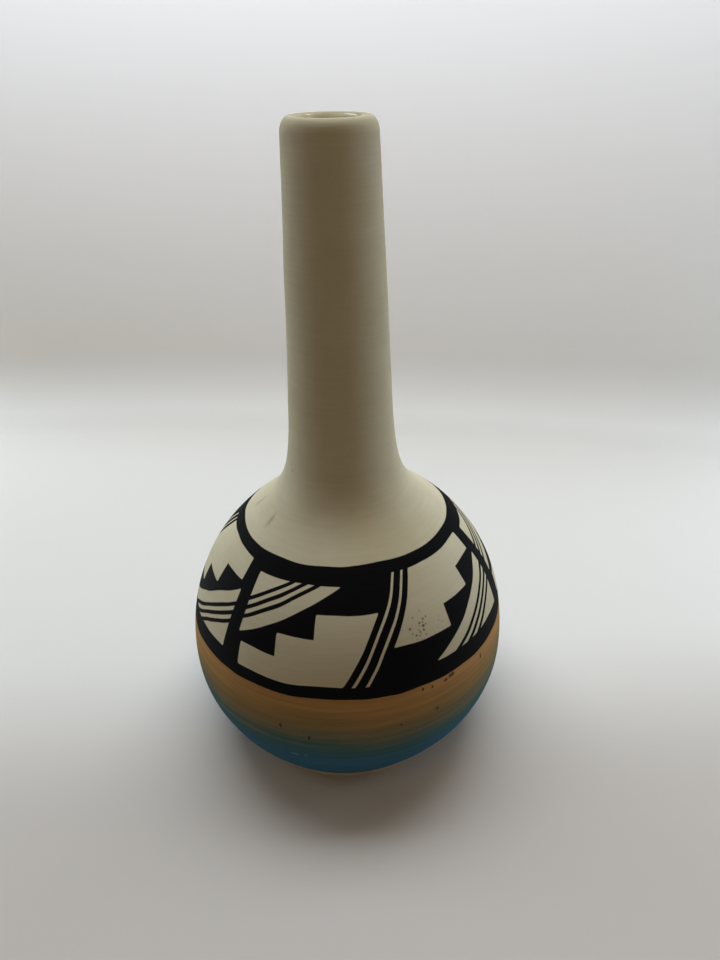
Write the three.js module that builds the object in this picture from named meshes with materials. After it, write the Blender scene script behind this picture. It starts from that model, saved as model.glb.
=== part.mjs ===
// Long-necked bottle vase of painted earthenware, in millimetres, +Z up, standing on z = 0.
// The fired vase is one body. Its nodes are the sections that a potter makes and lutes together
// before firing, foot ring, bowl, shoulder and neck, and the glaze that is poured in to line it.
import * as THREE from "three";

// Foot: a low turned ring of bare clay with a shallow recess inside it
const FOOT_DIAMETER = 101.6;
const FOOT_HEIGHT = 2;
const FOOT_RING_WIDTH = 7;
const FOOT_BEVEL = 0.5;

// Globe: a bowl from the foot out to the belly, and a shoulder from there in to the neck
const GLOBE_DIAMETER = 138;
const BELLY_RISE = 43;
const SHOULDER_RISE = 63.2;
const SHOULDER_DIAMETER = 77.4;

// Neck: a flared root and a long slow taper up to the lip
const ROOT_RISE = 54.8;
const ROOT_TOP_DIAMETER = 40;
const TAPER_RISE = 85.8;
const LIP_DIAMETER = 33;

// Lip: its crest lies nearer the bore, so it rolls over broadly outside and more tightly inside
const LIP_RISE = 5.3;
const LIP_INNER_RISE = 2.2;
const LIP_CREST_DEPTH = 3.1;

// Wall, floor and glaze
const WALL = 4.8;
const FLOOR = 6;
const FLOOR_FILLET = 4;
const GLAZE_THICKNESS = 0.5;

// Slip that lutes the sections together, and the same gap behind the glaze
const LUTING_GAP = 0.3;

// Angles of the outside above level, in degrees, where the globe leaves the foot and meets the neck
const FOOT_ANGLE = 51;
const SHOULDER_ANGLE = 37;

// Fullness of each curve at its two ends, as shares of the stretch that it spans
const FOOT_FULLNESS = 0.34;
const LOWER_BELLY_FULLNESS = 0.39;
const UPPER_BELLY_FULLNESS = 0.45;
const SHOULDER_FULLNESS = 0.28;
const ROOT_FULLNESS = 0.35;
const NECK_FULLNESS = 0.63;

// Facets: steps round the vase, and steps along each stretch outside and inside
const STEPS_ROUND = 48;
const OUTSIDE_STEPS = { lower: 7, upper: 10, root: 10, taper: 3 };
const INSIDE_STEPS = { lower: 7, upper: 6, root: 7, taper: 1 };
const LIP_STEPS = { outer: 6, inner: 4 };
const FILLET_STEPS = 3;

const EARTHENWARE = { color: 0xd8d2c2, roughness: 0.9, metalness: 0 };
const BARE_CLAY = { color: 0xcbb391, roughness: 0.95, metalness: 0 };
const CLEAR_GLAZE = { color: 0xe3ddcd, roughness: 0.15, metalness: 0 };

// The outline is a row of curves in (radius, height), climbing the outside from foot to lip
const bellyHeight = FOOT_HEIGHT + BELLY_RISE;
const shoulderHeight = bellyHeight + SHOULDER_RISE;
const rootTopHeight = shoulderHeight + ROOT_RISE;
const lipHeight = rootTopHeight + TAPER_RISE;
const floorTop = FOOT_HEIGHT + FLOOR;

const footEdge = new THREE.Vector2(FOOT_DIAMETER / 2, FOOT_HEIGHT);
const belly = new THREE.Vector2(GLOBE_DIAMETER / 2, bellyHeight);
const shoulder = new THREE.Vector2(SHOULDER_DIAMETER / 2, shoulderHeight);
const rootTop = new THREE.Vector2(ROOT_TOP_DIAMETER / 2, rootTopHeight);
const lipEdge = new THREE.Vector2(LIP_DIAMETER / 2, lipHeight);

const straightUp = new THREE.Vector2(0, 1);
const footSlope = slope(FOOT_ANGLE);
const shoulderSlope = slope(180 - SHOULDER_ANGLE);
const neckSlope = lipEdge.clone().sub(rootTop).normalize();

const outline = {
  lower: stretch(footEdge, footSlope, FOOT_FULLNESS, belly, straightUp, LOWER_BELLY_FULLNESS),
  upper: stretch(belly, straightUp, UPPER_BELLY_FULLNESS, shoulder, shoulderSlope, SHOULDER_FULLNESS),
  root: stretch(shoulder, shoulderSlope, ROOT_FULLNESS, rootTop, neckSlope, NECK_FULLNESS),
  taper: new THREE.LineCurve(rootTop, lipEdge),
};

function slope(degrees) {
  const angle = THREE.MathUtils.degToRad(degrees);
  return new THREE.Vector2(Math.cos(angle), Math.sin(angle));
}

// A smooth curve between two points that leaves and arrives along the given directions
function stretch(from, leaving, leavingFullness, to, arriving, arrivingFullness) {
  const span = from.distanceTo(to);
  const first = from.clone().addScaledVector(leaving, span * leavingFullness);
  const second = to.clone().addScaledVector(arriving, -span * arrivingFullness);
  return new THREE.CubicBezierCurve(from, first, second, to);
}

// The point that lies a set depth inside the outline, square to it
function inside(curve, t, depth) {
  const point = curve.getPoint(t);
  const along = curve.getTangent(t);
  return new THREE.Vector2(point.x - along.y * depth, point.y + along.x * depth);
}

// Points of one stretch from its lower end to its upper end, at a depth inside the outline
function follow(curve, steps, depth, startAt = 0) {
  const points = [];
  for (let step = 0; step <= steps; step += 1) {
    points.push(inside(curve, startAt + ((1 - startAt) * step) / steps, depth));
  }
  return points;
}

// Where on the lower stretch the inner wall has climbed clear of the floor's fillet
function wallStart() {
  const fineSteps = 400;
  let step = 0;
  while (step < fineSteps / 2) {
    if (inside(outline.lower, step / fineSteps, WALL).y >= floorTop + FLOOR_FILLET) break;
    step += 1;
  }
  return step / fineSteps;
}

// Floor, fillet and inner wall of the bowl at a depth, from the axis out and up to the belly
function bowlInside(depth) {
  const startAt = wallStart();
  const floorHeight = floorTop + depth - WALL;
  const wall = follow(outline.lower, INSIDE_STEPS.lower, depth, startAt);
  const along = outline.lower.getTangent(startAt);
  const foot = wall[0].x - ((wall[0].y - floorHeight) * along.x) / along.y;
  const corner = new THREE.Vector2(foot, floorHeight);
  const floorEdge = new THREE.Vector2(foot - FLOOR_FILLET, floorHeight);
  const fillet = new THREE.QuadraticBezierCurve(floorEdge, corner, wall[0]);
  return [new THREE.Vector2(0, floorHeight), ...joined(fillet.getPoints(FILLET_STEPS), wall)];
}

// Inner wall of the shoulder at a depth, from the belly up to the neck joint
function shoulderInside(depth) {
  return follow(outline.upper, INSIDE_STEPS.upper, depth);
}

// Inner wall of the neck at a depth, from the shoulder joint up to where the lip turns over
function neckInside(depth) {
  const root = follow(outline.root, INSIDE_STEPS.root, depth);
  const taper = follow(outline.taper, INSIDE_STEPS.taper, depth);
  const top = taper.at(-1).clone().addScaledVector(neckSlope, LIP_RISE - LIP_INNER_RISE);
  return joined(root, taper, [top]);
}

// Moves the first point of each row off the section below, by the gap that the slip fills
function liftStart(gap, direction, ...rows) {
  for (const row of rows) {
    row[0].addScaledVector(direction, gap);
  }
}

// Rows of points end to end, leaving out each point that repeats the one before it
function joined(...rows) {
  const nearlySame = 1e-6;
  return rows.flat().filter((point, i, all) => i === 0 || point.distanceTo(all[i - 1]) > nearlySame);
}

// A solid of revolution about +Z from a profile that runs up its outside and down its inside
function turned(name, profile, finish) {
  const geometry = new THREE.LatheGeometry(profile, STEPS_ROUND);
  geometry.rotateX(Math.PI / 2);
  const mesh = new THREE.Mesh(geometry, new THREE.MeshStandardMaterial(finish));
  mesh.name = name;
  return mesh;
}

// Foot ring: flat underneath, bevelled where it was turned, with its top luted under the bowl
function footRing() {
  const outer = FOOT_DIAMETER / 2;
  const inner = outer - FOOT_RING_WIDTH;
  const top = FOOT_HEIGHT - LUTING_GAP;
  const profile = [
    new THREE.Vector2(inner + FOOT_BEVEL, 0),
    new THREE.Vector2(outer - FOOT_BEVEL, 0),
    new THREE.Vector2(outer, FOOT_BEVEL),
    new THREE.Vector2(outer, top),
    new THREE.Vector2(inner, top),
    new THREE.Vector2(inner, FOOT_BEVEL),
    new THREE.Vector2(inner + FOOT_BEVEL, 0),
  ];
  return turned("foot_ring", profile, BARE_CLAY);
}

// Bowl: the floor and the lower half of the globe, up to the level edge at the belly
function globeBowl() {
  const outside = follow(outline.lower, OUTSIDE_STEPS.lower, 0);
  const hollow = bowlInside(WALL).reverse();
  const underside = new THREE.Vector2(0, FOOT_HEIGHT);
  return turned("globe_bowl", [underside, ...outside, ...hollow], EARTHENWARE);
}

// Shoulder: the upper half of the globe, standing on the bowl's edge and open where the neck goes
function globeShoulder() {
  const outside = follow(outline.upper, OUTSIDE_STEPS.upper, 0);
  const hollow = shoulderInside(WALL);
  liftStart(LUTING_GAP, straightUp, outside, hollow);
  return turned("globe_shoulder", [...outside, ...hollow.reverse(), outside[0]], EARTHENWARE);
}

// Neck: it stands on the bevelled edge of the shoulder
function neckTube() {
  const root = follow(outline.root, OUTSIDE_STEPS.root, 0);
  const taper = follow(outline.taper, OUTSIDE_STEPS.taper, 0);
  const outside = joined(root, taper);
  const bore = neckInside(WALL);
  liftStart(LUTING_GAP, shoulderSlope, outside, bore);
  const profile = joined(outside, lip(), bore.reverse(), [outside[0]]);
  return turned("neck_tube", profile, EARTHENWARE);
}

// Rounded lip: two quarter ellipses that meet at the crest, leaning with the neck's taper
function lip() {
  const outward = new THREE.Vector2(neckSlope.y, -neckSlope.x);
  const lean = outward.angle();
  const outerCentre = lipEdge.clone().addScaledVector(outward, -LIP_CREST_DEPTH);
  const innerCentre = outerCentre.clone().addScaledVector(neckSlope, LIP_RISE - LIP_INNER_RISE);
  const outer = new THREE.EllipseCurve(
    outerCentre.x, outerCentre.y, LIP_CREST_DEPTH, LIP_RISE, 0, Math.PI / 2, false, lean,
  );
  const inner = new THREE.EllipseCurve(
    innerCentre.x, innerCentre.y, WALL - LIP_CREST_DEPTH, LIP_INNER_RISE, Math.PI / 2, Math.PI, false, lean,
  );
  return joined(outer.getPoints(LIP_STEPS.outer), inner.getPoints(LIP_STEPS.inner));
}

// Glaze lining: a thin glassy coat over the floor, the inner wall and the bore, up to the lip
function glazeLining() {
  const behind = WALL + LUTING_GAP;
  const front = behind + GLAZE_THICKNESS;
  const clayFace = joined(bowlInside(behind), shoulderInside(behind), neckInside(behind));
  const glassFace = joined(bowlInside(front), shoulderInside(front), neckInside(front));
  return turned("glaze_lining", [...clayFace, ...glassFace.reverse()], CLEAR_GLAZE);
}

const group = new THREE.Group();
group.add(footRing(), globeBowl(), globeShoulder(), neckTube(), glazeLining());
export default group;
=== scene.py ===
# %% [markdown]
# # A painted bottle vase
#
# The real vase is one fired body of pale earthenware: a round globe on a low foot, with a long neck
# that tapers to a rounded lip. The outside is dry, unglazed slip. It is painted with a black and cream
# band, and below the band with a blend from burnt orange to blue. Only the inside is glazed.
#
# The built frame holds its size and its sections. It is loaded first, and every piece made here is
# sized from it, rides on it and stands in for some of its sections.

# %% Load the frame
import math

import bpy
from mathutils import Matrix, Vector


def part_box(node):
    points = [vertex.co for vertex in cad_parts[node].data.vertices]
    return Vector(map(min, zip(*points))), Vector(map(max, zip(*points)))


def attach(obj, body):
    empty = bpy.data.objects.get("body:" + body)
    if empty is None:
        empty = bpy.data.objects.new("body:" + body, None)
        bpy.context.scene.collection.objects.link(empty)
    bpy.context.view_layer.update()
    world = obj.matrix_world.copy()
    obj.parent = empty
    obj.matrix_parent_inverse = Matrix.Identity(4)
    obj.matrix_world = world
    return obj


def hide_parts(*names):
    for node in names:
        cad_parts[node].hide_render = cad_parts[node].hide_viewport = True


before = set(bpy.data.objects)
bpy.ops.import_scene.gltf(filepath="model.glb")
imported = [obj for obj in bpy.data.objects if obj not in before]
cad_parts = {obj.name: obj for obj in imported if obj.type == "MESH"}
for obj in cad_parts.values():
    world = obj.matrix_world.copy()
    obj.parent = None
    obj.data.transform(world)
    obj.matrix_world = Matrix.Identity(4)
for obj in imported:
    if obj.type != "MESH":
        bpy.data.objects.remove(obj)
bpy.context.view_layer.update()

MM = 0.001

# %% [markdown]
# ## The camera
#
# The vase is seen from close by and from above, at about the height of its lip, through a wide lens.
# That is why the neck looks so wide at the top and the foot so small. The camera is turned by three
# angles: down, a little to the side, and a little about its own line of sight.

# %% Place the camera
CAMERA_DISTANCE = 261.5 * MM
CAMERA_HEIGHT = 263.9 * MM
LOOK_DOWN = math.radians(29.12)
LOOK_ASIDE = math.radians(-1.763)
CAMERA_LEAN = math.radians(-1.752)
LENS = 27.04
FILM = 36.0
NEAREST_SEEN = 10 * MM

bpy.ops.object.select_all(action="DESELECT")
bpy.ops.object.camera_add(
    location=(0, -CAMERA_DISTANCE, CAMERA_HEIGHT),
    rotation=(math.pi / 2 - LOOK_DOWN, 0, LOOK_ASIDE),
)
camera = bpy.context.object
camera.name = "camera"
camera.rotation_euler.rotate_axis("Z", CAMERA_LEAN)
camera.data.lens = LENS
camera.data.sensor_width = FILM
camera.data.clip_start = NEAREST_SEEN
bpy.context.scene.camera = camera
print("camera, mm:", [round(c / MM, 1) for c in camera.location])

# %% [markdown]
# ## The outline
#
# A pot is round about its axis, so its whole shape is one line: the edge of the clay from the foot to
# the lip. That line has four stretches, which meet at the belly, at the shoulder and where the root of
# the neck has become straight. A curve between two points, with a direction and a fullness at each
# end, draws such a stretch with few numbers and no wobble, so Bezier curves are used. The heights and
# widths of their joints come from the frame.

# %% Read the outline's points from the frame
_, ring_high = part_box("foot_ring")
bowl_low, bowl_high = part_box("globe_bowl")
_, shoulder_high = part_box("globe_shoulder")
_, neck_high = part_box("neck_tube")
lining_low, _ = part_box("glaze_lining")

SHOULDER_RADIUS = 38.7 * MM
ROOT_RISE = 54.8 * MM
ROOT_TOP_RADIUS = 20 * MM
TAPER_RISE = 85.8 * MM
LIP_RADIUS = 16.5 * MM
LUTING_GAP = 0.3 * MM

FOOT_ANGLE = math.radians(51)
SHOULDER_ANGLE = math.radians(180 - 37)
UPRIGHT = math.radians(90)

foot_edge = Vector((ring_high.x, bowl_low.z))
belly = Vector((bowl_high.x, bowl_high.z))
shoulder = Vector((SHOULDER_RADIUS, shoulder_high.z))
root_top = Vector((ROOT_TOP_RADIUS, shoulder.y + ROOT_RISE))
lip_edge = Vector((LIP_RADIUS, root_top.y + TAPER_RISE))
taper_angle = math.atan2(lip_edge.y - root_top.y, lip_edge.x - root_top.x)

# point, direction of the outline there, fullness of the stretch below and of the stretch above
OUTLINE = [
    (foot_edge, FOOT_ANGLE, None, 0.34),
    (belly, UPRIGHT, 0.39, 0.45),
    (shoulder, SHOULDER_ANGLE, 0.28, 0.35),
    (root_top, taper_angle, 0.63, 1 / 3),
    (lip_edge, taper_angle, 1 / 3, None),
]
for point, *_ in OUTLINE:
    print("outline at radius %.1f, height %.1f mm" % (point.x / MM, point.y / MM))

# %% Find the wall at any depth in the clay
def direction(angle):
    return Vector((math.cos(angle), math.sin(angle)))


def wall_knots(depth):
    """Knots of the outline moved inwards by a depth: (handle below, point, handle above)."""
    points = [point + depth * direction(angle + UPRIGHT) for point, angle, *_ in OUTLINE]
    knots = []
    for i, (_, angle, below, above) in enumerate(OUTLINE):
        before = after = points[i]
        if below:
            before = points[i] - direction(angle) * below * (points[i] - points[i - 1]).length
        if above:
            after = points[i] + direction(angle) * above * (points[i + 1] - points[i]).length
        knots.append((before, points[i], after))
    return knots


def corner(radius, height):
    point = Vector((radius, height))
    return (point, point, point)


def downwards(knots):
    return [(after, point, before) for before, point, after in reversed(knots)]

# %% [markdown]
# ## Throwing a shape
#
# On the wheel the potter's hands hold one section still while the clay turns past it. Spin does the
# same: the section is drawn once as a curve, turned into a line of edges and spun about the upright
# axis. Spin leaves doubled points at the seam and at the poles, so these are merged, and only then
# are the faces told which way is out.
#
# Each point also keeps how far along the clay it lies from the middle of the base. Paint follows the
# clay, so bands are measured by that length and not by plain height.

# %% Draw a section and spin it
STEPS_ROUND = 192
CURVE_STEPS = 28
SAME_POINT = 1e-6


def draw_section(name, knots):
    bpy.ops.object.select_all(action="DESELECT")
    bpy.ops.curve.primitive_bezier_curve_add()
    drawing = bpy.context.object
    drawing.name = name
    drawing.data.resolution_u = CURVE_STEPS
    line = drawing.data.splines[0]
    line.bezier_points.add(len(knots) - len(line.bezier_points))
    for knot, (before, point, after) in zip(line.bezier_points, knots):
        knot.handle_left_type = "FREE"
        knot.handle_right_type = "FREE"
        knot.co = (point.x, 0, point.y)
        knot.handle_left = (before.x, 0, before.y)
        knot.handle_right = (after.x, 0, after.y)
    bpy.ops.object.convert(target="MESH")
    return bpy.context.object


def measure_along(line):
    """Writes on each point how far along the clay it lies, and returns (height, length, radius)."""
    points = [vertex.co.copy() for vertex in line.data.vertices]
    lengths = [0.0]
    for before, after in zip(points, points[1:]):
        lengths.append(lengths[-1] + (after - before).length)
    along = line.data.attributes.new("along_clay", "FLOAT", "POINT")
    along.data.foreach_set("value", lengths)
    return [(point.z, length, point.x) for point, length in zip(points, lengths)]


def spin(line):
    bpy.ops.object.mode_set(mode="EDIT")
    bpy.ops.mesh.select_all(action="SELECT")
    bpy.ops.mesh.spin(steps=STEPS_ROUND, angle=2 * math.pi, center=(0, 0, 0), axis=(0, 0, 1))
    bpy.ops.mesh.select_all(action="SELECT")
    bpy.ops.mesh.remove_doubles(threshold=SAME_POINT)
    bpy.ops.mesh.normals_make_consistent(inside=False)
    bpy.ops.object.mode_set(mode="OBJECT")
    bpy.ops.object.shade_smooth()
    print(line.name, "faces:", len(line.data.polygons))

# %% [markdown]
# ## The painted body
#
# Bowl, shoulder and neck were luted together while the clay was leather hard, and the joints were
# smoothed away under the slip. So the finished wall is one piece that stands for all three sections.
# Its section goes out along the underside, up the outside, over the lip and down the inside. The lip
# was rounded with a wet finger: its crest lies near the bore, so it rolls over broadly outside and
# tightly inside, and each side of it is a quarter of an ellipse.

# %% Draw the lip
WALL = 4.8 * MM
LIP_RISE = 5.3 * MM
LIP_INNER_RISE = 2.2 * MM
LIP_CREST_DEPTH = 3.1 * MM
# how long a handle is, as a share of the radius, where a Bezier curve draws a quarter ellipse
QUARTER_ELLIPSE = 0.5523

upward = direction(taper_angle)
outward = direction(taper_angle - UPRIGHT)
bore_top = lip_edge - outward * WALL + upward * (LIP_RISE - LIP_INNER_RISE)
crest = lip_edge - outward * LIP_CREST_DEPTH + upward * LIP_RISE
over_lip = (
    crest + outward * LIP_CREST_DEPTH * QUARTER_ELLIPSE,
    crest,
    crest - outward * (WALL - LIP_CREST_DEPTH) * QUARTER_ELLIPSE,
)
print("lip crest at %.2f mm, in the frame at %.2f mm" % (crest.y / MM, neck_high.z / MM))

# %% Draw and throw the body
FLOOR_TOP = lining_low.z - LUTING_GAP

outside = wall_knots(0)
inside = wall_knots(WALL)
outside[-1] = (outside[-1][0], lip_edge, lip_edge + upward * LIP_RISE * QUARTER_ELLIPSE)
inside[-1] = (inside[-1][0], bore_top, bore_top + upward * LIP_INNER_RISE * QUARTER_ELLIPSE)
inside[0] = corner(inside[0][1].x, FLOOR_TOP)

underside = [corner(0, foot_edge.y)]
floor_middle = [corner(0, FLOOR_TOP)]
body = draw_section("painted_body", underside + outside + [over_lip] + downwards(inside) + floor_middle)
climb = measure_along(body)
spin(body)

# %% Look up how far along the clay a height lies
outer_climb = climb[:climb.index(max(climb)) + 1]


def at_height(height):
    """At a height on the outside: length along the clay from the middle of the base, and radius, in mm."""
    for (low, *lower), (high, *upper) in zip(outer_climb, outer_climb[1:]):
        if low < high and low <= height * MM <= high:
            share = (height * MM - low) / (high - low)
            return Vector(lower).lerp(Vector(upper), share) / MM


def along_at(height):
    return at_height(height)[0]


LIP_CREST = max(climb)[1] / MM
print("along the clay, mm: belly %.1f, lip %.1f" % (along_at(belly.y / MM), LIP_CREST))

# %% [markdown]
# ## The foot and the lining
#
# The foot is a low ring that was turned out of the base and wiped with a sponge, so its edges are
# soft. The lining is the glaze that was poured in and out again: a thin coat over everything inside.
# It ends on the inner round of the lip, where it runs out to almost nothing and catches the light.

# %% Throw the foot ring
RING_WIDTH = 7 * MM
WIPED_EDGE = 0.7 * MM
EDGE_FULLNESS = 0.55


def soft_corner(x, z, coming_from, going_to):
    """Two knots that round a corner off, coming in from one side and leaving along the other."""
    point = Vector((x, z))
    first = point + Vector(coming_from) * WIPED_EDGE
    last = point + Vector(going_to) * WIPED_EDGE
    return [
        (first, first, first.lerp(point, EDGE_FULLNESS)),
        (last.lerp(point, EDGE_FULLNESS), last, last),
    ]


ring_outer = ring_high.x
ring_inner = ring_outer - RING_WIDTH
foot_section = [corner(ring_inner, foot_edge.y)]
foot_section += soft_corner(ring_inner, 0, (0, 1), (1, 0))
foot_section += soft_corner(ring_outer, 0, (-1, 0), (0, 1))
foot_section += [corner(ring_outer, foot_edge.y), corner(ring_inner, foot_edge.y)]
foot = draw_section("turned_foot", foot_section)
spin(foot)

# %% Throw the lining
GLAZE = 0.5 * MM
GLAZE_GAP = 0.05 * MM
GLAZE_EDGE = 0.12 * MM
GLAZE_REACH = math.radians(52)
# The edge of the glaze wavers round the mouth, where it crept up more or less.
GLAZE_EDGE_WAVE = 0.25 * MM
WAVES, FINER_WAVES = 3, 5


def on_inner_lip(depth, turn):
    """A knot on the inner round of the lip, a depth of glaze off the clay; the turn starts at the bore."""
    wide, tall = WALL - LIP_CREST_DEPTH + depth, LIP_INNER_RISE + depth
    middle = bore_top + outward * (WALL - LIP_CREST_DEPTH)
    point = middle - outward * wide * math.cos(turn) + upward * tall * math.sin(turn)
    handle = outward * wide * math.sin(turn) + upward * tall * math.cos(turn)
    arc_handle = 4 / 3 * math.tan(GLAZE_REACH / 4)
    handle *= arc_handle
    return (point - handle, point, point + handle)


def lining_knots(depth, edge_depth):
    knots = wall_knots(WALL + depth)
    knots[0] = corner(knots[0][1].x, FLOOR_TOP + depth)
    bore_end, lip_end = on_inner_lip(depth, 0), on_inner_lip(edge_depth, GLAZE_REACH)
    straight = (bore_end[1], *bore_end[1:])
    return [corner(0, FLOOR_TOP + depth)] + knots[:-1] + [straight, (*lip_end[:2], lip_end[1])]


clay_side = lining_knots(GLAZE_GAP, GLAZE_GAP)
glass_side = lining_knots(GLAZE, GLAZE_EDGE)
lining = draw_section("glaze_coat", clay_side + downwards(glass_side))
spin(lining)
for vertex in lining.data.vertices:
    if vertex.co.z > lip_edge.y:
        turn = math.atan2(vertex.co.y, vertex.co.x)
        vertex.co.z += GLAZE_EDGE_WAVE * math.sin(WAVES * turn) * math.cos(FINER_WAVES * turn)

# %% [markdown]
# ## The potter's hand
#
# No thrown pot is perfectly round or straight. The base was trimmed a little off the axis, the neck
# was set a little to one side, and the scraped surface has shallow hollows that catch the light. A
# Displace modifier with a soft cloud texture makes such hollows. A group of points keeps it to the
# outside and lets it fade out towards the foot and the lip, so the joint with the foot stays closed
# and the glaze keeps its place on the lip.

# %% Make the outside slightly uneven
HOLLOW_DEPTH = 0.45 * MM
HOLLOW_SIZE = 32 * MM
# along the clay, mm: where the hollows start above the foot, and over which length they fade
HOLLOWS_START = 1
FADE = 14

lengths = [0.0] * len(body.data.vertices)
body.data.attributes["along_clay"].data.foreach_get("value", lengths)
first = along_at(foot_edge.y / MM + HOLLOWS_START)
last = LIP_CREST - LIP_RISE / MM
group = body.vertex_groups.new(name="outside")
outer_points = [(i, along / MM) for i, along in enumerate(lengths) if first < along / MM < last]
for i, along in outer_points:
    group.add([i], min(1, (along - first) / FADE, (last - along) / FADE), "REPLACE")

clouds = bpy.data.textures.new("hand_hollows", "CLOUDS")
clouds.noise_scale = HOLLOW_SIZE
hollows = body.modifiers.new("hand_hollows", "DISPLACE")
hollows.texture = clouds
hollows.texture_coords = "LOCAL"
hollows.strength = HOLLOW_DEPTH
hollows.vertex_group = group.name
bpy.ops.object.select_all(action="DESELECT")
bpy.context.view_layer.objects.active = body
body.select_set(True)
bpy.ops.object.modifier_apply(modifier=hollows.name)
print("points on the outside:", len(outer_points))

# %% Set the base and the neck a little off the axis
# height and sideways shift of the clay there, mm
OFF_AXIS = [(0, -1.0), (12, -0.5), (22, 0.3), (45, 0.5), (89, 1.2), (107, 1.7), (127, 1.3), (254, 1.6)]


def aside(height):
    for (low, shift_low), (high, shift_high) in zip(OFF_AXIS, OFF_AXIS[1:]):
        if height <= high * MM:
            share = (height / MM - low) / (high - low)
            ease = share * share * (3 - 2 * share)
            return (shift_low + ease * (shift_high - shift_low)) * MM
    return OFF_AXIS[-1][1] * MM


for piece in (body, foot, lining):
    for vertex in piece.data.vertices:
        vertex.co.x += aside(vertex.co.z)
    piece.data.update()
print("off the axis, mm: base %.1f, lip %.1f" % (aside(0) / MM, aside(neck_high.z) / MM))

# %% Tilt the lip
# The lip was cut free-hand: it is lowest in front and highest at the back left.
TILT_START = 236 * MM
TILT_ASIDE, TILT_BACK = -0.012, 0.034

for piece in (body, lining):
    for vertex in piece.data.vertices:
        share = max(0, vertex.co.z - TILT_START) / (neck_high.z - TILT_START)
        lift = TILT_ASIDE * vertex.co.x + TILT_BACK * vertex.co.y
        vertex.co.z += share ** 2 * lift
    piece.data.update()
print("highest point of the tilted lip, mm: %.2f" % (max(v.co.z for v in body.data.vertices) / MM))

# %% [markdown]
# ## Finishes
#
# Each material is made of nodes. One function gives a colour written as hex to the shader in the
# linear form that it needs, and one adds a node with its settings and links. Patterns are measured in
# millimetres: a noise that repeats 0.5 times per mm has clouds of 2 mm. Nearly all values of a noise
# lie between 0.3 and 0.7, so that is the range that is stretched to the range wanted.

# %% Helpers for materials
def srgb(code):
    """A colour written as hex, in the linear values that a shader takes."""
    parts = [int(code[i:i + 2], 16) / 255 for i in (0, 2, 4)]
    return tuple(p / 12.92 if p <= 0.04045 else ((p + 0.055) / 1.055) ** 2.4 for p in parts) + (1.0,)


def add(tree, kind, *values, feed=None, out=0, stops=None, **settings):
    """Adds a node, feeds its inputs in order or by name, and returns an output, or the node itself."""
    node = tree.nodes.new("ShaderNode" + kind)
    for key, value in settings.items():
        setattr(node, key, value)
    for place, code in stops or []:
        node.color_ramp.elements.new(place).color = srgb(code)
    if stops:
        node.color_ramp.elements.remove(node.color_ramp.elements[0])
        node.color_ramp.elements.remove(node.color_ramp.elements[-1])
    for socket, value in list(enumerate(values)) + list((feed or {}).items()):
        if isinstance(value, bpy.types.NodeSocket):
            tree.links.new(value, node.inputs[socket])
        else:
            node.inputs[socket].default_value = value
    return node if out is None else node.outputs[out]


def new_finish(name):
    finish = bpy.data.materials.new(name)
    finish.use_nodes = True
    finish.node_tree.nodes.clear()
    return finish, finish.node_tree


def spot_in_mm(tree):
    """The place of a spot on the piece, in mm."""
    place = add(tree, "TexCoord", out="Object")
    return add(tree, "VectorMath", place, operation="SCALE", feed={"Scale": 1 / MM})


NOISE_REACH = (0.3, 0.7)

# %% [markdown]
# ## The painted slip
#
# Slip is liquid clay, brushed on and polished by handling, so it is matte and shows the brush. All of
# the outside is one material. It finds its place from the length along the clay, which gives the
# bands, and from the angle round the axis, which gives the repeats. The painter drew by eye, so every
# edge wavers a little: a noise moves the spot by a fraction of a millimetre before it is looked up.

# %% Find the spot on the clay, in mm
slip, tree = new_finish("matte_painted_slip")
# heights of the band and of the outer edges of its rings, mm
BAND_LOW, BAND_HIGH = 67.2, 101.8
RING_LOW, RING_HIGH = 62.3, 105.2
# the waver of the painter's hand: its length along a line, and the width that it strays over, mm
WAVER_LONG = 20
WAVER = 2.4
REPEATS = 3
BAND_RADIUS = 60
REPEAT_WIDTH = 2 * math.pi * BAND_RADIUS / REPEATS
FIRST_REPEAT = -76

band_low, band_high = along_at(BAND_LOW), along_at(BAND_HIGH)
band_middle = (band_low + band_high) / 2
band_half = (band_high - band_low) / 2

spot = spot_in_mm(tree)
spot_xyz = add(tree, "SeparateXYZ", spot, out=None)
length = add(tree, "Attribute", out="Fac", attribute_name="along_clay")
length = add(tree, "Math", length, 1 / MM, operation="MULTIPLY")

waver = {"Scale": 1 / WAVER_LONG, "Detail": 1.5, "Roughness": 0.4}
hand = add(tree, "TexNoise", spot, feed=waver, out="Color")
hand = add(tree, "VectorMath", hand, (0.5, 0.5, 0.5), operation="SUBTRACT")
hand = add(tree, "VectorMath", hand, operation="SCALE", feed={"Scale": WAVER})
hand_xyz = add(tree, "SeparateXYZ", hand, out=None)

angle = add(tree, "Math", spot_xyz.outputs["Y"], spot_xyz.outputs["X"], operation="ARCTAN2")
start = math.radians(FIRST_REPEAT) * -BAND_RADIUS
around = add(tree, "Math", angle, BAND_RADIUS, start, operation="MULTIPLY_ADD")
around = add(tree, "Math", around, REPEAT_WIDTH / 2, -REPEAT_WIDTH / 2, operation="WRAP")
around = add(tree, "Math", around, hand_xyz.outputs["X"], operation="ADD")
drawn = add(tree, "Math", length, hand_xyz.outputs["Y"], operation="ADD")
up = add(tree, "Math", drawn, band_middle, operation="SUBTRACT")
print("band, mm: half height %.1f, repeat %.1f wide" % (band_half, REPEAT_WIDTH))

# %% [markdown]
# ## The stepped band
#
# The band is a plain traditional one: flights of steps and striped triangles in cream on black. Each
# repeat is half of it, turned half a turn about the middle for the other half, so only half is drawn.
# A painted edge is a straight line, and the distance of a spot from it is one dot product. A shape is
# the largest of the distances from its edges, taken smoothly so that its corners are as round as a
# brush leaves them.

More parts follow.
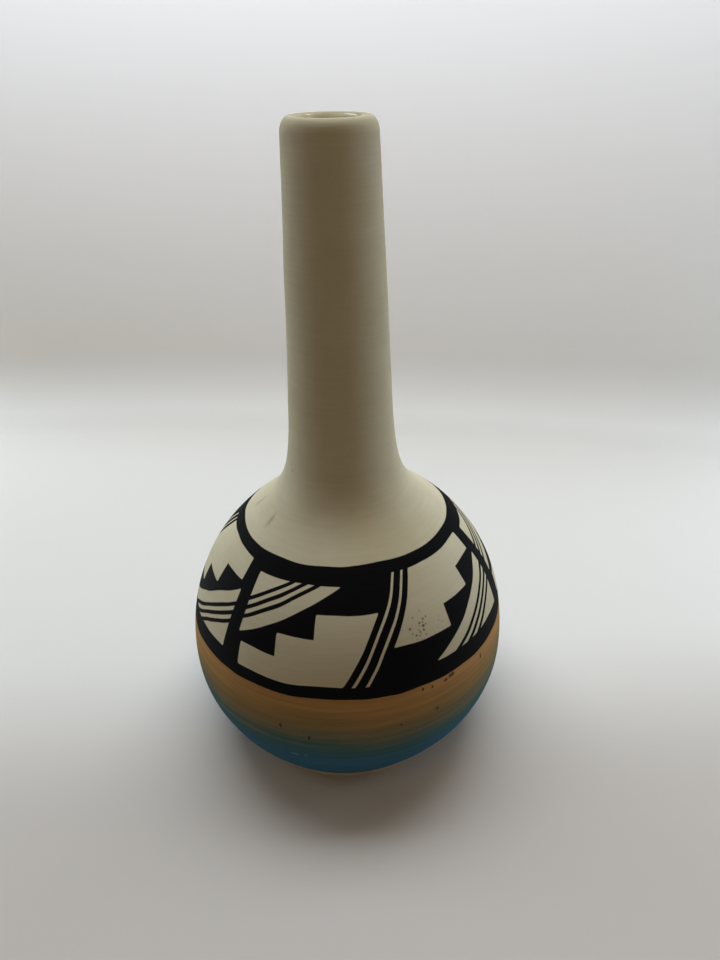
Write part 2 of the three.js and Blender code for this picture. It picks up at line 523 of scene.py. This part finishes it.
# %% Draw a shape from its edges
# across the slanted lines, and how round a corner is and how soft a painted edge, mm
SLANT = Vector((0.875, -0.484))
CORNER = 1.2
PAINT_EDGE = 0.12

here = add(tree, "CombineXYZ", around, up, 1.0)
side = add(tree, "VectorMath", here, (*SLANT, 0.0), operation="DOT_PRODUCT", out="Value")
turn = add(tree, "Math", add(tree, "Math", side, operation="SIGN"), -1.0, operation="MULTIPLY")
fold = add(tree, "CombineXYZ", turn, turn, 1.0)
here = add(tree, "VectorMath", here, fold, operation="MULTIPLY")
side = add(tree, "VectorMath", here, (*SLANT, 0.0), operation="DOT_PRODUCT", out="Value")


def shape(corners):
    """Distance from a shape with straight sides, its corners given clockwise; negative inside."""
    distance = None
    for start, end in zip(corners, corners[1:] + corners[:1]):
        run = Vector(end) - Vector(start)
        out = Vector((-run.y, run.x)).normalized()
        line = (out.x, out.y, -out.dot(Vector(start)))
        edge = add(tree, "VectorMath", here, line, operation="DOT_PRODUCT", out="Value")
        if distance:
            edge = add(tree, "Math", distance, edge, CORNER, operation="SMOOTH_MAX")
        distance = edge
    return distance


def slant_at(height, gap):
    """Where the slanted edge beside the middle lies at a height."""
    return (-gap - SLANT.y * height) / SLANT.x

# %% Draw the steps, the triangle and its stripes
GAP = 5.2
STRIPES = (5.6, 8.7, 11.8)
STRIPE_WIDTH = 1.6
FINE_LINE = 2.1
FINE_LINE_WIDTH = 1.1
LEFT = -57.5
STEP_TOPS = (-10.8, -1.8, 7.2)
STEP_RUN = 15.2
# The triangle runs past the band and past the half repeat, which cut it off.
TRIANGLE_TOP, TRIANGLE_LOW, TRIANGLE_TIP = 17.6, -7.6, -17.0
TRIANGLE_LEFT = LEFT - 2

cream_shapes = []
for i, top in enumerate(STEP_TOPS):
    left = LEFT + i * STEP_RUN
    base = -band_half
    top_right, base_right = slant_at(top, GAP), slant_at(base, GAP)
    cream_shapes.append(shape([(left, base), (left, top), (top_right, top), (base_right, base)]))

high, low, near = TRIANGLE_TOP, TRIANGLE_LOW, TRIANGLE_TIP
triangle = shape([(TRIANGLE_LEFT, high), (near, high), (TRIANGLE_LEFT, low)])
long_side = Vector((TRIANGLE_LEFT - near, low - high)).normalized()
inward = Vector((long_side.y, -long_side.x))
line = (inward.x, inward.y, -inward.dot(Vector((near, high))))
from_long_side = add(tree, "VectorMath", here, line, operation="DOT_PRODUCT", out="Value")
for depth in STRIPES:
    stripe = add(tree, "Math", from_long_side, depth, operation="SUBTRACT")
    stripe = add(tree, "Math", stripe, operation="ABSOLUTE")
    stripe = add(tree, "Math", STRIPE_WIDTH / 2, stripe, operation="SUBTRACT")
    triangle = add(tree, "Math", triangle, stripe, operation="MAXIMUM")
cream_shapes.append(triangle)

fine_line = add(tree, "Math", side, FINE_LINE, operation="ADD")
fine_line = add(tree, "Math", fine_line, operation="ABSOLUTE")
fine_line = add(tree, "Math", fine_line, FINE_LINE_WIDTH / 2, operation="SUBTRACT")
cream_shapes.append(fine_line)

cream = cream_shapes[0]
for other in cream_shapes[1:]:
    cream = add(tree, "Math", cream, other, operation="MINIMUM")
from_middle = add(tree, "Math", up, operation="ABSOLUTE")
outside_band = add(tree, "Math", from_middle, band_half, operation="SUBTRACT")
cream = add(tree, "Math", cream, outside_band, operation="MAXIMUM")
print("shapes in half a repeat:", len(cream_shapes))

# %% Cover the band and its rings with black
above_black = add(tree, "Math", drawn, along_at(RING_HIGH), operation="SUBTRACT")
below_black = add(tree, "Math", along_at(RING_LOW), drawn, operation="SUBTRACT")
black_edge = add(tree, "Math", above_black, below_black, operation="MAXIMUM")
not_cream = add(tree, "Math", cream, -1.0, operation="MULTIPLY")
black_edge = add(tree, "Math", black_edge, not_cream, operation="MAXIMUM")
black = add(tree, "MapRange", black_edge, PAINT_EDGE, -PAINT_EDGE)
print("rings along the clay, mm: %.1f and %.1f" % (along_at(RING_LOW), along_at(RING_HIGH)))

# %% [markdown]
# ## The colours of the slips
#
# The cream slip is the ground: warm white, slightly mottled where it dried unevenly, with fine level
# strokes from the burnishing. Below the band the blend was brushed on while the vase turned, so its
# streaks run level: the noise that shifts them is stretched round the vase. Burnt orange and blue are
# laid wet into each other, so they meet in dull teal, olive and ochre.

# %% Mottle the cream slip
CREAM = "dfd5ba"
CREAM_WARM = "d2c4a0"
MOTTLE_PER_MM = 0.03
MOTTLE_SHARE = 0.6
# The strokes are 0.9 mm tall and some 17 mm long, and each is a little lighter or darker.
STROKE_TALL = 0.9
STROKE_PER_MM = 0.06
STROKE_TONES = (0.965, 1.02)

mottle = add(tree, "TexNoise", spot, feed={"Scale": MOTTLE_PER_MM, "Detail": 4.0, "Roughness": 0.6})
mottle = add(tree, "MapRange", mottle, 0.42, 0.75, 0.0, MOTTLE_SHARE)
ground = add(tree, "Mix", feed={0: mottle, 6: srgb(CREAM), 7: srgb(CREAM_WARM)}, out=2, data_type="RGBA")
level = (STROKE_PER_MM, STROKE_PER_MM, 1 / STROKE_TALL)
strokes = add(tree, "VectorMath", spot, level, operation="MULTIPLY")
strokes = add(tree, "TexNoise", strokes, feed={"Scale": 1.0, "Detail": 3.0, "Roughness": 0.55})
stroke_tone = add(tree, "MapRange", strokes, *NOISE_REACH, *STROKE_TONES)
ground = add(tree, "VectorMath", ground, operation="SCALE", feed={"Scale": stroke_tone})
print("nodes as far as the cream slip:", len(tree.nodes))

# %% Blend the orange into the blue
# The two slips, and the dull tones in which they meet when they are laid wet into each other.
BLUE, TEAL, OCHRE, ORANGE = "3e6c88", "4a6c6c", "968058", "be925e"
# height in mm from which each takes over
BLEND = [(26, BLUE), (38, TEAL), (50, OCHRE), (58, ORANGE)]
BLEND_LOW, BLEND_HIGH = 0.0, 66.0
# A streak is 2.4 mm tall and runs some 80 mm round the vase. It moves the blend up or down by as much
# as its stray, in mm, and changes its tone. A slower drift lifts and lowers the blend round the vase.
STREAKS_PER_MM = (0.012, 0.012, 0.42)
STREAK_STRAY = 3.8
STREAK_TONES = (0.86, 1.1)
DRIFT_PER_MM = 0.018
DRIFT_STRAY = 3.0
# how far under the band the blend starts and is full, mm: both lie where the black ring covers them
BLEND_STARTS, BLEND_FULL = 1, 2

streaks = add(tree, "VectorMath", spot, STREAKS_PER_MM, operation="MULTIPLY")
streaks = add(tree, "TexNoise", streaks, feed={"Scale": 1.0, "Detail": 5.0, "Roughness": 0.62})
streak_shift = add(tree, "MapRange", streaks, 0.25, 0.75, -STREAK_STRAY, STREAK_STRAY)
drift = add(tree, "TexNoise", spot, feed={"Scale": DRIFT_PER_MM, "Detail": 2.0})
drift_shift = add(tree, "MapRange", drift, *NOISE_REACH, -DRIFT_STRAY, DRIFT_STRAY)
height = add(tree, "Math", spot_xyz.outputs["Z"], streak_shift, operation="ADD")
height = add(tree, "Math", height, drift_shift, operation="ADD")
height = add(tree, "MapRange", height, BLEND_LOW, BLEND_HIGH)
stops = [((z - BLEND_LOW) / (BLEND_HIGH - BLEND_LOW), code) for z, code in BLEND]
blend = add(tree, "ValToRGB", height, stops=stops)
streak_dark = add(tree, "MapRange", streaks, *NOISE_REACH, *STREAK_TONES)
blend = add(tree, "VectorMath", blend, operation="SCALE", feed={"Scale": streak_dark})

below_band = add(tree, "MapRange", drawn, band_low - BLEND_STARTS, band_low - BLEND_FULL)
colour = add(tree, "Mix", feed={0: below_band, 6: ground, 7: blend}, out=2, data_type="RGBA")
print("slips in the blend:", len(BLEND))

# %% [markdown]
# ## Wear
#
# Years of handling left small marks: grey rubs where the vase touched something, a patch of black
# spatter, flecks where the blend flaked, and iron specks all over. A mark is an ellipse on the clay,
# given by its height, its angle and its size. A fine noise added to the distance from it makes its
# edge ragged, as no chip or rub has a smooth one.

# %% Scatter the iron specks
SPECK = "6a5843"
SPECK_SPACING = 5.0
# the share of cells without a speck, and the largest speck and its soft edge as shares of the spacing
NO_SPECK = 0.86
SPECK_LARGEST, SPECK_EDGE = 0.07, 0.02
SPECK_SHARE = 0.7

cells = add(tree, "TexVoronoi", spot, feed={"Scale": 1 / SPECK_SPACING}, out=None)
chosen = add(tree, "SeparateColor", cells.outputs["Color"])
speck_size = add(tree, "MapRange", chosen, NO_SPECK, 1.0, 0.0, SPECK_LARGEST)
speck = add(tree, "Math", speck_size, cells.outputs["Distance"], operation="SUBTRACT")
speck = add(tree, "MapRange", speck, 0.0, SPECK_EDGE, 0.0, SPECK_SHARE)
colour = add(tree, "Mix", feed={0: speck, 6: colour, 7: srgb(SPECK)}, out=2, data_type="RGBA")
print("largest speck, mm across: %.1f" % (2 * SPECK_LARGEST * SPECK_SPACING))

# %% Paint shade on the rim
# Painted shade: the slip is made a little darker over the rim, towards its crest.
RIM_SHADE = "c9bfa4"
RIM_SHADE_SHARE = 0.8
# how far before the crest the painted shade is full, mm
RIM_SHADE_FULL = 1.0

rim_shade = add(tree, "Math", length, LIP_CREST, operation="SUBTRACT")
rim_shade = add(tree, "MapRange", rim_shade, -LIP_RISE / MM, -RIM_SHADE_FULL, 0.0, RIM_SHADE_SHARE)
# The rim's painted shade: the colour is mixed towards a darker one near the crest.
colour = add(tree, "Mix", feed={0: rim_shade, 6: colour, 7: srgb(RIM_SHADE)}, out=2, data_type="RGBA")
print("the rim is darkened from %.1f mm before its crest" % (LIP_RISE / MM))

# %% Place the marks
# height in mm, angle in degrees from the right, width and height of the mark in mm
RUBS = [(110.6, -179, 1.7, 5.5), (111.5, -149, 2.0, 5.5), (130, -149.5, 0.9, 1.2)]
FLAKES = [
    (60.8, -54.5, 3.2, 1.7),
    (60.0, -57, 1.8, 1.3),
    (59.9, -62.5, 1.2, 1.6),
    (60.6, -66, 0.9, 1.3),
    (58.4, -39, 1.1, 2.6),
    (48.5, -61, 1.3, 1.4),
    (46.7, -113.5, 1.1, 2.0),
    (47.2, -74, 1.2, 1.2),
    (43.0, -104, 0.8, 2.2),
]
CHIPS = [(30.2, -110, 3.2, 1.0), (31.0, -106, 1.2, 0.7)]
SPATTER = [(84.5, -62, 14, 9)]
RAGGED_PER_MM = 0.9
RAGGED = 0.45

place = add(tree, "CombineXYZ", angle, length)
ragged = add(tree, "TexNoise", spot, feed={"Scale": RAGGED_PER_MM, "Detail": 3.0, "Roughness": 0.6})
ragged = add(tree, "MapRange", ragged, *NOISE_REACH, -RAGGED, RAGGED)


def marks(places, edge=0.25):
    """How much of each spot is covered by any of the marks."""
    nearest = None
    for height, degrees, wide, tall in places:
        along, radius = at_height(height)
        size = Vector((2 * radius / wide, 2 / tall, 0))
        middle = Vector((math.radians(degrees) * size.x, along * size.y, 0))
        away = add(tree, "VectorMath", place, size, -middle, operation="MULTIPLY_ADD")
        away = add(tree, "VectorMath", away, operation="LENGTH", out="Value")
        nearest = add(tree, "Math", nearest, away, operation="MINIMUM") if nearest else away
    nearest = add(tree, "Math", nearest, ragged, operation="ADD")
    return add(tree, "MapRange", nearest, 1 + edge, 1 - edge)


print("marks:", len(RUBS + FLAKES + CHIPS + SPATTER))

# %% Lay the marks over the slips
RUB = "8b8678"
FLAKE = "3a352c"
CHIP = "8fb0b4"
RUB_SHARE, FLAKE_SHARE, CHIP_SHARE = 0.48, 0.8, 0.6

rubs = add(tree, "Math", marks(RUBS, edge=0.6), RUB_SHARE, operation="MULTIPLY")
colour = add(tree, "Mix", feed={0: rubs, 6: colour, 7: srgb(RUB)}, out=2, data_type="RGBA")
flakes = add(tree, "Math", marks(FLAKES), FLAKE_SHARE, operation="MULTIPLY")
colour = add(tree, "Mix", feed={0: flakes, 6: colour, 7: srgb(FLAKE)}, out=2, data_type="RGBA")
chips = add(tree, "Math", marks(CHIPS, edge=0.5), CHIP_SHARE, operation="MULTIPLY")
colour = add(tree, "Mix", feed={0: chips, 6: colour, 7: srgb(CHIP)}, out=2, data_type="RGBA")

# %% Spatter the drops
DROP_SPACING = 1.3
# the share of cells without a drop, and the largest drop and its soft edge as shares of the spacing
NO_DROP = 0.2
DROP_LARGEST, DROP_EDGE = 0.55, 0.12
DROP_SHARE = 0.75

drops = add(tree, "TexVoronoi", spot, feed={"Scale": 1 / DROP_SPACING}, out=None)
chosen = add(tree, "SeparateColor", drops.outputs["Color"])
drop_size = add(tree, "MapRange", chosen, NO_DROP, 1.0, 0.0, DROP_LARGEST)
drop = add(tree, "Math", drop_size, drops.outputs["Distance"], operation="SUBTRACT")
drop = add(tree, "MapRange", drop, 0.0, DROP_EDGE, 0.0, DROP_SHARE)
drop = add(tree, "Math", drop, marks(SPATTER, edge=0.4), operation="MULTIPLY")
colour = add(tree, "Mix", feed={0: drop, 6: colour, 7: srgb(FLAKE)}, out=2, data_type="RGBA")
print("nodes as far as the spatter:", len(tree.nodes))

# %% Lay the black and leave the base bare
BLACK = "070708"
BLACK_WORN = "0e0e10"
BARE = "eaddc2"
# height up to which the base is bare, and half the width of the paint's soft edge there, mm
BARE_LINE = 3.2
BARE_EDGE = 0.3

painted_low = along_at(BARE_LINE)
worn = add(tree, "MapRange", strokes, 0.35, 0.7)
worn_black = add(tree, "Mix", feed={0: worn, 6: srgb(BLACK), 7: srgb(BLACK_WORN)}, out=2, data_type="RGBA")
colour = add(tree, "Mix", feed={0: black, 6: colour, 7: worn_black}, out=2, data_type="RGBA")
painted = add(tree, "MapRange", drawn, painted_low - BARE_EDGE, painted_low + BARE_EDGE)
colour = add(tree, "Mix", feed={0: painted, 6: srgb(BARE), 7: colour}, out=2, data_type="RGBA")
print("paint starts along the clay at %.1f mm" % painted_low)

# %% [markdown]
# The relief of the slip is finer than its shape: burnishing strokes that run level, the tooth of the
# dry clay, and the black standing a few hundredths of a millimetre proud of the cream. Slip scatters
# light like chalk, so its mirror reflection is turned down well below that of glazed ware, and the
# burnished black is only a little smoother than the cream.

# %% Shade the slip
TOOTH_PER_MM = 2.2
# heights and depths of the relief, mm
TOOTH_HIGH = 0.03
STROKE_HIGH = 0.05
BLACK_PROUD = 0.03
FLAKE_DEEP = 0.06
CREAM_ROUGH, BLACK_ROUGH, STROKE_ROUGH = 0.85, 0.68, 0.12
SLIP_MIRROR = 0.045

grain = add(tree, "TexNoise", spot, feed={"Scale": TOOTH_PER_MM, "Detail": 3.0, "Roughness": 0.6})
relief = add(tree, "MapRange", grain, 0.2, 0.8, 0.0, TOOTH_HIGH)
relief = add(tree, "Math", strokes, STROKE_HIGH, relief, operation="MULTIPLY_ADD")
relief = add(tree, "Math", black, BLACK_PROUD, relief, operation="MULTIPLY_ADD")
relief = add(tree, "Math", flakes, -FLAKE_DEEP, relief, operation="MULTIPLY_ADD")
bump = add(tree, "Bump", feed={"Height": relief, "Distance": MM, "Strength": 1.0})
smooth_black = add(tree, "MapRange", black, 0.0, 1.0, CREAM_ROUGH, BLACK_ROUGH)
roughness = add(tree, "Math", strokes, STROKE_ROUGH, smooth_black, operation="MULTIPLY_ADD")
shader = add(
    tree, "BsdfPrincipled", colour,
    feed={"Roughness": roughness, "Specular IOR Level": SLIP_MIRROR, "Normal": bump},
)
add(tree, "OutputMaterial", shader, out=None)
print(slip.name, "nodes:", len(tree.nodes))

# %% [markdown]
# ## The bare clay and the glaze
#
# The foot shows the fired clay itself: pale buff, dry and open, with darker grog in it. The sponge
# that wiped it left fine grooves round it, and the ring is a little dirty where it stands on shelves.
#
# The glaze is glass over the same clay. It reads as wet: the clay's colour, deeper and more yellow
# where the glass ran thick, under one sharp reflection, with small pits that burst in the firing.

# %% Bare clay
GROG = "a58f6c"
GRIME = "c8bb9f"
# Grains of grog lie 0.9 mm apart, patches of dirt 12 mm, and grooves 0.6 mm.
GROG_PER_MM = 1.1
GROG_EDGE, GROG_BODY, GROG_SHARE = 0.22, 0.12, 0.55
GRIME_PER_MM = 0.08
GRIME_SHARE = 0.7
GROOVES_PER_MM = 1.6
GROOVE_DEEP, GROG_DEEP = 0.12, 0.03
CLAY_ROUGH, CLAY_MIRROR = 0.92, 0.25

bare, tree = new_finish("wiped_bare_earthenware")
spot = spot_in_mm(tree)
cells = add(tree, "TexVoronoi", spot, feed={"Scale": GROG_PER_MM}, out=None)
grog = add(tree, "MapRange", cells.outputs["Distance"], GROG_EDGE, GROG_BODY, 0.0, GROG_SHARE)
colour = add(tree, "Mix", feed={0: grog, 6: srgb(BARE), 7: srgb(GROG)}, out=2, data_type="RGBA")
patches = add(tree, "TexNoise", spot, feed={"Scale": GRIME_PER_MM, "Detail": 5.0, "Roughness": 0.65})
patches = add(tree, "MapRange", patches, 0.48, 0.7, 0.0, GRIME_SHARE)
colour = add(tree, "Mix", feed={0: patches, 6: colour, 7: srgb(GRIME)}, out=2, data_type="RGBA")
x_y = add(tree, "VectorMath", spot, (1, 1, 0), operation="MULTIPLY")
from_axis = add(tree, "VectorMath", x_y, operation="LENGTH", out="Value")
rings = {"W": from_axis, "Scale": GROOVES_PER_MM, "Detail": 3.0}
grooves = add(tree, "TexNoise", feed=rings, noise_dimensions="1D")
relief = add(tree, "Math", grooves, GROOVE_DEEP, operation="MULTIPLY")
relief = add(tree, "Math", cells.outputs["Distance"], GROG_DEEP, relief, operation="MULTIPLY_ADD")
bump = add(tree, "Bump", feed={"Height": relief, "Distance": MM, "Strength": 1.0})
shader = add(
    tree, "BsdfPrincipled", colour,
    feed={"Roughness": CLAY_ROUGH, "Specular IOR Level": CLAY_MIRROR, "Normal": bump},
)
add(tree, "OutputMaterial", shader, out=None)
print(bare.name, "nodes:", len(tree.nodes))

# %% Clear glaze
GLAZE_THIN = "e1d8bf"
GLAZE_THICK = "ccbc94"
# Runs of glaze are 8 mm wide and 50 mm long, and the pits lie 3 mm apart.
RUNS_PER_MM = (0.12, 0.12, 0.02)
RUN_HIGH = 0.25
PITS_PER_MM = 0.35
PIT_WIDE, PIT_DEEP = 0.1, 0.1
GLAZE_ROUGH = 0.07

glaze, tree = new_finish("clear_glaze_on_cream_clay")
spot = spot_in_mm(tree)
runs = add(tree, "VectorMath", spot, RUNS_PER_MM, operation="MULTIPLY")
runs = add(tree, "TexNoise", runs, feed={"Scale": 1.0, "Detail": 3.0})
thick = add(tree, "MapRange", runs, 0.4, 0.7)
tones = {0: thick, 6: srgb(GLAZE_THIN), 7: srgb(GLAZE_THICK)}
colour = add(tree, "Mix", feed=tones, out=2, data_type="RGBA")
pits = add(tree, "TexVoronoi", spot, feed={"Scale": PITS_PER_MM}, out="Distance")
pits = add(tree, "MapRange", pits, 0.0, PIT_WIDE, -PIT_DEEP, 0.0)
relief = add(tree, "Math", runs, RUN_HIGH, pits, operation="MULTIPLY_ADD")
bump = add(tree, "Bump", feed={"Height": relief, "Distance": MM, "Strength": 1.0})
shader = add(tree, "BsdfPrincipled", colour, feed={"Roughness": GLAZE_ROUGH, "Normal": bump})
add(tree, "OutputMaterial", shader, out=None)
print(glaze.name, "nodes:", len(tree.nodes))

# %% Fasten the pieces to the frame
for piece, finish, slot, sections in (
    (body, slip, "slip_painted_clay", ("globe_bowl", "globe_shoulder", "neck_tube")),
    (foot, bare, "bare_clay", ("foot_ring",)),
    (lining, glaze, "clear_glaze", ("glaze_lining",)),
):
    piece.data.materials.append(finish)
    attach(piece, "root")
    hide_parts(*sections)
    print(piece.name, "stands for", ", ".join(sections))

# %% [markdown]
# ## The stage
#
# The vase stands on a pale sweep: one sheet of paper that lies flat and curves up into the backdrop,
# so there is no hard corner behind the vase. A grid is extruded up at its back edge, and the fold is
# bevelled round. The sheet stands slightly askew, and its ends bow forward a little. The backdrop has
# painted light: a glow that only the camera sees makes it brighter towards its top and its middle, as
# lit paper is, so it adds no light to the vase. In front of the vase the paper is painted a little
# greyer, a painted shadow of whoever takes the picture. What it returns to the vase is slightly warm,
# as from a room with wood and cloth in it, so the shaded side isn't grey. From the front, where that
# person stands, it returns little, so the front of the neck stays dark. Uncoated paper is matte and
# even in colour, so nothing on it draws the eye.

# %% Make the paper sweep
SHEET = 2.4
COLUMNS = 48
FOLD_STEPS = 16
BACK_EDGE = 0.347
BACK_TURN = math.radians(-12)
BACK_HEIGHT = 0.42
SWEEP_ROUND = 0.06
# how far forward the sheet bows a metre aside, by the square of the way, and where the bow ends
BOW, BOW_END = 0.3, 0.4

bpy.ops.object.select_all(action="DESELECT")
bpy.ops.mesh.primitive_grid_add(
    x_subdivisions=COLUMNS, y_subdivisions=1, size=SHEET, location=(0, BACK_EDGE - SHEET / 2, 0),
)
sweep = bpy.context.object
sweep.name = "paper_sweep"
bpy.ops.object.transform_apply(location=True, rotation=False, scale=False)
bpy.ops.object.mode_set(mode="EDIT")
bpy.ops.mesh.select_mode(type="EDGE")
bpy.ops.mesh.select_all(action="DESELECT")
bpy.ops.object.mode_set(mode="OBJECT")
points = sweep.data.vertices
for edge in sweep.data.edges:
    edge.select = all(points[i].co.y > BACK_EDGE - MM for i in edge.vertices)
bpy.ops.object.mode_set(mode="EDIT")
bpy.ops.mesh.extrude_region_move(TRANSFORM_OT_translate={"value": (0, 0, BACK_HEIGHT)})
bpy.ops.object.mode_set(mode="OBJECT")
for edge in sweep.data.edges:
    edge.select = all(points[i].co.y > BACK_EDGE - MM and points[i].co.z < MM for i in edge.vertices)
bpy.ops.object.mode_set(mode="EDIT")
bpy.ops.mesh.bevel(offset=SWEEP_ROUND, segments=FOLD_STEPS)
bpy.ops.mesh.select_all(action="SELECT")
bpy.ops.mesh.normals_make_consistent(inside=False)
bpy.ops.object.mode_set(mode="OBJECT")
bpy.ops.object.shade_smooth()
for point in sweep.data.vertices:
    if point.co.y > 0:
        point.co.y -= BOW * min(abs(point.co.x), BOW_END) ** 2
sweep.rotation_euler.z = BACK_TURN
bpy.ops.object.transform_apply(location=False, rotation=True, scale=False)
print("sweep faces:", len(sweep.data.polygons))

# %% Tell what the camera sees from what lights the vase
def shown_to_camera(tree):
    """1 where the camera sees a surface, itself or through glass or in a reflection, and 0 elsewhere."""
    seen = add(tree, "LightPath", out=None)
    seen_by = [seen.outputs[kind] for kind in ("Is Camera Ray", "Is Glossy Ray", "Is Transmission Ray")]
    shown = add(tree, "Math", seen_by[0], seen_by[1], operation="MAXIMUM")
    return add(tree, "Math", shown, seen_by[2], operation="MAXIMUM")

# %% Colour the paper
PAPER = "ece7e3"
# the paper's colour under the painted shadow in front of the vase
PAPER_SHADED_FRONT = "cfc6c0"
WARM_RETURN = "faf4ea"
FRONT_EDGE, FRONT_END = 0.04, -0.07
UNSEEN_RETURN = "3f3d3b"
UNSEEN_EDGE, UNSEEN_END = -0.11, -0.24
# Painted light on the backdrop, seen only by the camera: the glow at the floor, what it has gained at
# GLOW_HEIGHT, and the power of the curve between.
GLOW_HEIGHT = 0.314
GLOW_LOW, GLOW_MORE, GLOW_CURVE = 0.01, 0.5, 1.85
# What the middle gains, where it lies, and how far from it the gain is used up. Further out the glow
# loses up to GLOW_LOSS of that gain.
GLOW_MIDDLE, GLOW_ASIDE, GLOW_HALF = 0.085, 0.02, 0.3
GLOW_LOSS = 0.7
GLOW_TINT = "f0f5ff"
# The fold has a painted highlight low down.
FOLD_GLOW = 0.06
FOLD_LOW, FOLD_TOP = SWEEP_ROUND / 6, SWEEP_ROUND * 0.75
PAPER_ROUGH = 0.6

paper, tree = new_finish("pale_matte_paper")
shown = shown_to_camera(tree)
place = add(tree, "SeparateXYZ", add(tree, "TexCoord", out="Object"), out=None)
# Painted shadow: the paper turns greyer in front of the vase.
front_shadow = add(tree, "MapRange", place.outputs["Y"], FRONT_EDGE, FRONT_END, interpolation_type="SMOOTHSTEP")
tones = {0: front_shadow, 6: srgb(PAPER), 7: srgb(PAPER_SHADED_FRONT)}
paper_colour = add(tree, "Mix", feed=tones, out=2, data_type="RGBA")
unseen = add(tree, "MapRange", place.outputs["Y"], UNSEEN_EDGE, UNSEEN_END, interpolation_type="SMOOTHSTEP")
tones = {0: unseen, 6: srgb(WARM_RETURN), 7: srgb(UNSEEN_RETURN)}
returned = add(tree, "Mix", feed=tones, out=2, data_type="RGBA")
returned = add(tree, "Mix", feed={0: shown, 6: returned, 7: srgb("ffffff")}, out=2, data_type="RGBA")
paper_colour = add(tree, "VectorMath", paper_colour, returned, operation="MULTIPLY")
rise = place.outputs["Z"]
# Painted light: the backdrop glows, for the camera only.
on_back = add(tree, "MapRange", rise, 0.0, SWEEP_ROUND)
rise = add(tree, "Math", rise, GLOW_HEIGHT, operation="DIVIDE")
rise = add(tree, "Math", rise, GLOW_CURVE, operation="POWER")
glow = add(tree, "Math", rise, GLOW_MORE, GLOW_LOW, operation="MULTIPLY_ADD")
aside_share = add(tree, "MapRange", place.outputs["X"], GLOW_ASIDE, GLOW_ASIDE + GLOW_HALF, clamp=False)
aside_share = add(tree, "Math", aside_share, aside_share, operation="MULTIPLY")
lost = -GLOW_LOSS * GLOW_MIDDLE
middle_glow = add(tree, "MapRange", aside_share, 0.0, 1 + GLOW_LOSS, GLOW_MIDDLE, lost)
glow = add(tree, "Math", glow, middle_glow, operation="ADD")
glow = add(tree, "Math", glow, on_back, operation="MULTIPLY")
# Painted highlight on the fold, also for the camera only.
fold = add(tree, "MapRange", place.outputs["Z"], 0.0, FOLD_LOW, 0.0, FOLD_GLOW)
past_fold = add(tree, "MapRange", place.outputs["Z"], FOLD_TOP, FOLD_LOW)
glow = add(tree, "Math", fold, past_fold, glow, operation="MULTIPLY_ADD")
glow = add(tree, "Math", glow, shown, operation="MULTIPLY")
shader = add(
    tree, "BsdfPrincipled", paper_colour,
    feed={"Roughness": PAPER_ROUGH, "Emission Color": srgb(GLOW_TINT), "Emission Strength": glow},
)
add(tree, "OutputMaterial", shader, out=None)
sweep.data.materials.append(paper)
print(paper.name, "nodes:", len(tree.nodes))

# %% [markdown]
# ## The light
#
# The light is plain and soft: one wide softbox above and behind, and two weak low ones that light the
# edges of the neck. So the front of the neck is in gentle shade and the shadow falls towards the
# camera. A weak warm softbox high in front, and one at the right, stand for the rest of the room:
# they keep the shadow from going black.

# %% Set up the softboxes
# name, place, what it is aimed at, width and depth in metres, power in watts, colour
LAMPS = [
    ("softbox_back", (0, 0.31, 1.05), (0, 0, 0.05), 1.2, 0.42, 9.85, "eaf7ff"),
    ("softbox_front", (0, -0.55, 0.9), (0, 0, 0.05), 0.6, 0.4, 1.12, "ffe1b1"),
    ("softbox_right", (0.5, 0.05, 0.7), (0, 0, 0.1), 0.5, 0.5, 0.3, "ffdcae"),
    ("strip_left", (-0.6, 0.3, 0.12), (0, 0, 0.1), 0.3, 0.2, 0.87, "e5f6ff"),
    ("strip_right", (0.5, 0.09, 0.09), (0, 0, 0.1), 0.16, 0.12, 0.54, "cde9ff"),
]
for name, place, aim, width, depth, power, tint in LAMPS:
    bpy.ops.object.select_all(action="DESELECT")
    bpy.ops.object.light_add(type="AREA", location=place)
    lamp = bpy.context.object
    lamp.name = name
    lamp.data.shape = "RECTANGLE"
    lamp.data.size = width
    lamp.data.size_y = depth
    lamp.data.energy = power
    lamp.data.color = srgb(tint)[:3]
    lamp.rotation_euler = (Vector(aim) - Vector(place)).to_track_quat("-Z", "Y").to_euler()
    lamp.visible_camera = False
print("lamps:", len(LAMPS))

# %% Surround the stage with a pale room
ROOM = "d8d8d5"
ROOM_LIGHT = 0.02
world = bpy.data.worlds.new("pale_room")
bpy.context.scene.world = world
world.use_nodes = True
tree = world.node_tree
tree.nodes.clear()
shown = shown_to_camera(tree)
strength = add(tree, "MapRange", shown, 0.0, 1.0, ROOM_LIGHT, 1.0)
add(tree, "OutputWorld", add(tree, "Background", srgb(ROOM), strength), out=None)
bpy.context.scene.view_settings.view_transform = "Standard"
print("light of the room on the vase:", ROOM_LIGHT)
